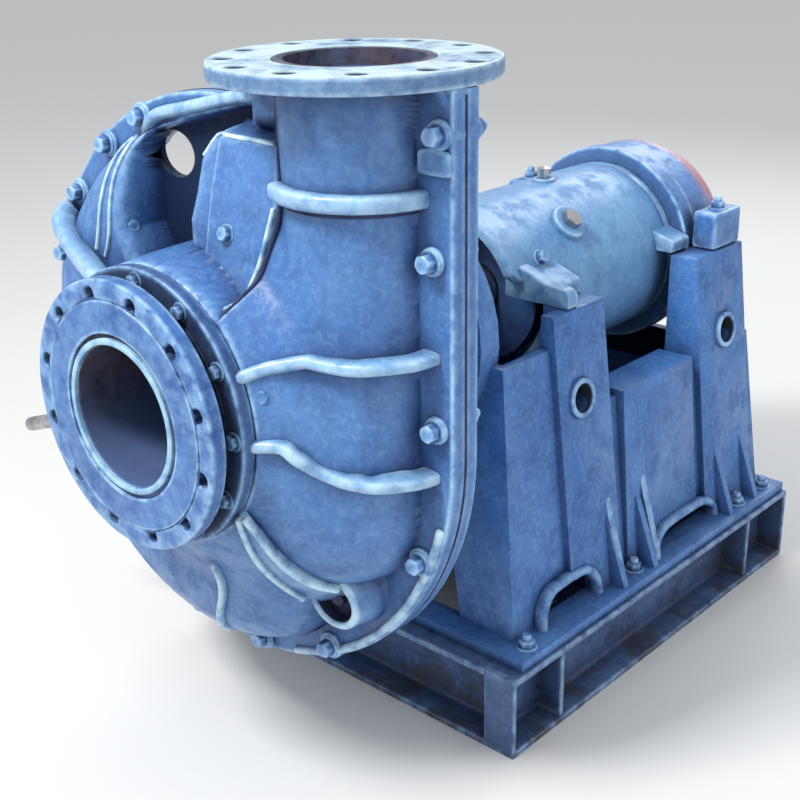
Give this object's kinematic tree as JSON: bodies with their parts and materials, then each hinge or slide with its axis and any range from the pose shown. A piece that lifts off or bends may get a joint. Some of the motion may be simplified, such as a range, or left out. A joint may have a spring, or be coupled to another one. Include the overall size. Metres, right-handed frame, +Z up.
{
  "type": "horizontal slurry pump",
  "caption": "Horizontal centrifugal slurry pump: a split volute casing with an axial suction flange and an upward discharge flange, on a cast bearing pedestal and a channel base frame.",
  "frame": {"origin": "middle of the underside of the base's front beam, below the pump shaft's vertical plane", "axes": "+Y along the shaft from the suction flange to the drive end, +Z up, and the discharge flange looks up on the +X side"},
  "size_m": [1.213, 1.793, 1.386],
  "materials": {
    "casing_paint": "mid blue enamel over a rough casting, rubbed lighter on the edges",
    "discharge_paint": "pale worn blue on the flange's machined face",
    "housing_paint": "blue enamel over a smooth turned casting",
    "pedestal_paint": "mid blue enamel over a casting",
    "base_paint": "dark blue enamel, dirty inside the channels",
    "liner_iron": "bare dark iron, worn smooth",
    "machined_steel": "turned steel"
  },
  "bodies": {
    "root": {"suction_casing_half": "casing_paint", "drive_casing_half": "casing_paint", "suction_flange": "casing_paint", "suction_spool": "casing_paint", "throat_cover": "casing_paint", "stuffing_box": "casing_paint", "casing_adapter": "casing_paint", "discharge_flange": "discharge_paint", "bearing_housing": "housing_paint", "bearing_flange_rear": "housing_paint", "bearing_cover_rear": "housing_paint", "bearing_cover_front": "housing_paint", "pedestal": "pedestal_paint", "clamp_cap_left": "pedestal_paint", "clamp_cap_right": "pedestal_paint", "base_front_beam": "base_paint", "base_rear_beam": "base_paint", "base_rail_left": "base_paint", "base_rail_right": "base_paint", "base_stiffener_front_left": "base_paint", "base_stiffener_front_right": "base_paint", "base_stiffener_rear_left": "base_paint", "base_stiffener_rear_right": "base_paint", "base_end_plate_front_left": "base_paint", "base_end_plate_front_right": "base_paint", "base_end_plate_rear_left": "base_paint", "base_end_plate_rear_right": "base_paint", "throat_liner": "liner_iron", "discharge_liner": "liner_iron", "impeller": "liner_iron", "shaft": "machined_steel", "shaft_key": "machined_steel", "gland": "machined_steel", "side_stud": "machined_steel", "breather": "machined_steel", "filler_plug": "machined_steel"}
  },
  "joints": []
}
